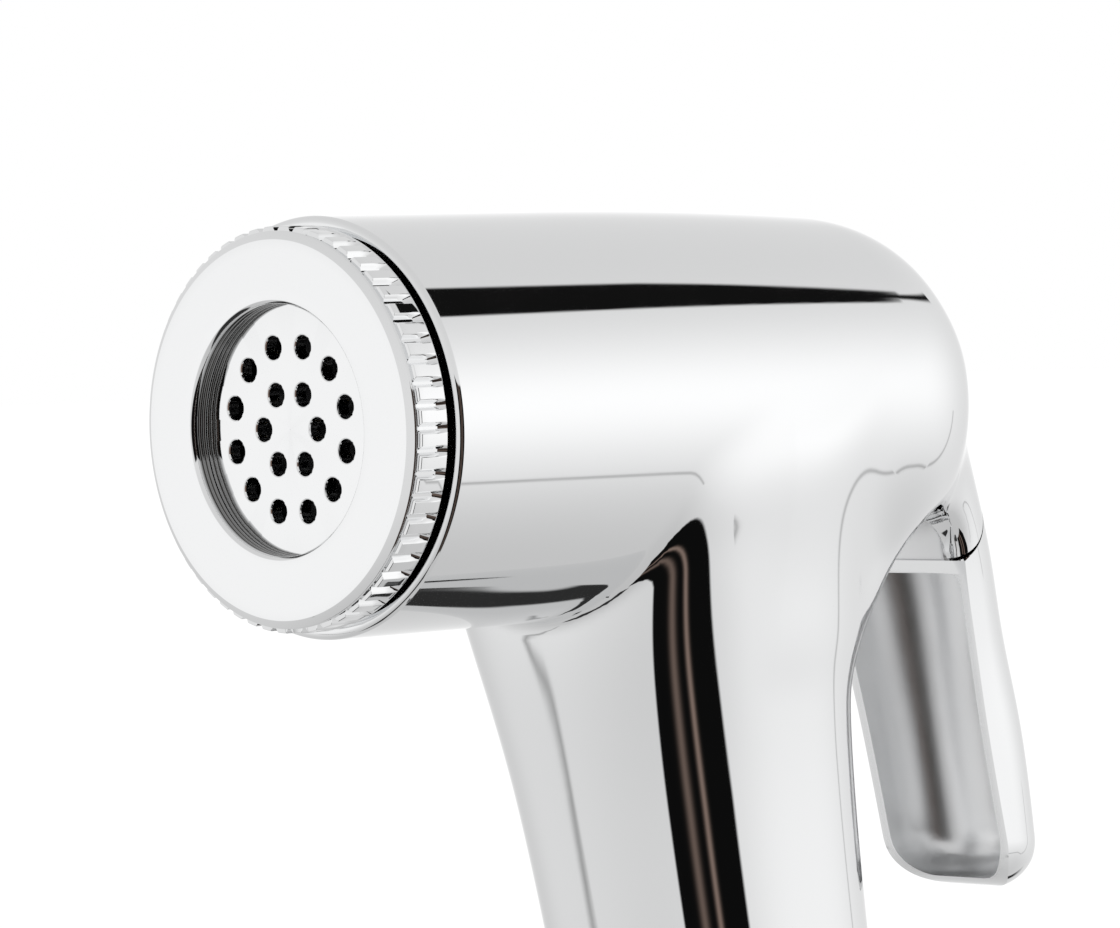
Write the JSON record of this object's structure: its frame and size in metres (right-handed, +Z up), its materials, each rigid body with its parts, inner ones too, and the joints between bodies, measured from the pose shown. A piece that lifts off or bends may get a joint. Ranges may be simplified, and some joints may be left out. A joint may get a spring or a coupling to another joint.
{
  "type": "handheld bidet shower",
  "caption": "Chrome handheld bidet spray with a barrel head, knurled face ring, perforated spray plate, leaning handle and rear squeeze lever.",
  "frame": {"origin": "centre of the hose inlet's end face, on the handle's axis", "axes": "+Z up, the spray barrel's axis along Y with the spray leaving towards -Y, +X across the handset"},
  "size_m": [0.034, 0.0861, 0.1381],
  "materials": {
    "shell_chrome": "mirror",
    "ring_chrome": "mirror",
    "plate_chrome": "mirror",
    "lever_chrome": "mirror",
    "nipple_chrome": "polished",
    "white_polymer": "satin",
    "black_rubber": "matte",
    "turned_brass": "turned",
    "stainless_steel": "satin"
  },
  "bodies": {
    "handset": {"body": "shell_chrome", "spray_plate": "plate_chrome", "plate_gasket": "black_rubber", "stream_disc": "white_polymer", "ring_seal": "black_rubber", "valve_body": "white_polymer", "shell_o_rings": "black_rubber", "valve_seat": "turned_brass", "seat_o_ring": "black_rubber", "valve_spring": "stainless_steel", "gland_bush": "white_polymer", "gland_outer_ring": "black_rubber", "gland_inner_ring": "black_rubber", "pivot_pin": "stainless_steel", "pin_plug": "shell_chrome", "riser_tube": "white_polymer", "riser_upper_ring": "black_rubber", "riser_lower_ring": "black_rubber", "inlet_nipple": "nipple_chrome", "nipple_o_ring": "black_rubber", "filter_screen": "stainless_steel", "check_cage": "white_polymer", "check_guide": "white_polymer", "check_spring": "stainless_steel"},
    "ring": {"face_ring": "ring_chrome"},
    "trigger": {"lever": "lever_chrome", "lever_bush": "white_polymer"},
    "stem": {"valve_stem": "stainless_steel", "poppet": "turned_brass", "poppet_washer": "black_rubber", "poppet_screw": "stainless_steel", "stem_washer": "stainless_steel", "stem_nut": "turned_brass"},
    "check": {"check_poppet": "white_polymer"}
  },
  "joints": [
    {"name": "lever_squeeze", "type": "hinge", "parent": "handset", "child": "trigger", "pos_m": [0, 0.00824, 0.11438], "axis": [-1, 0, 0], "range_deg": [0, 14], "stiffness_Nm_per_rad": 0.05, "springref_deg": -28.65},
    {"name": "stem_pull", "type": "slide", "parent": "handset", "child": "stem", "axis": [0, 1, 0], "range_m": [0, 0.00123], "deforming": ["valve_spring"]},
    {"name": "ring_turn", "type": "hinge", "parent": "handset", "child": "ring", "pos_m": [0, -0.05976, 0.11938], "axis": [0, 1, 0], "continuous": true},
    {"name": "check_lift", "type": "slide", "parent": "handset", "child": "check", "axis": [0, -0.1633, 0.9866], "range_m": [0, 0.0015], "stiffness_N_per_m": 100, "springref_m": -0.002, "deforming": ["check_spring"]}
  ],
  "couplings": [
    {"joint": "stem_pull", "follows": "lever_squeeze", "m_per_rad": 0.005}
  ]
}
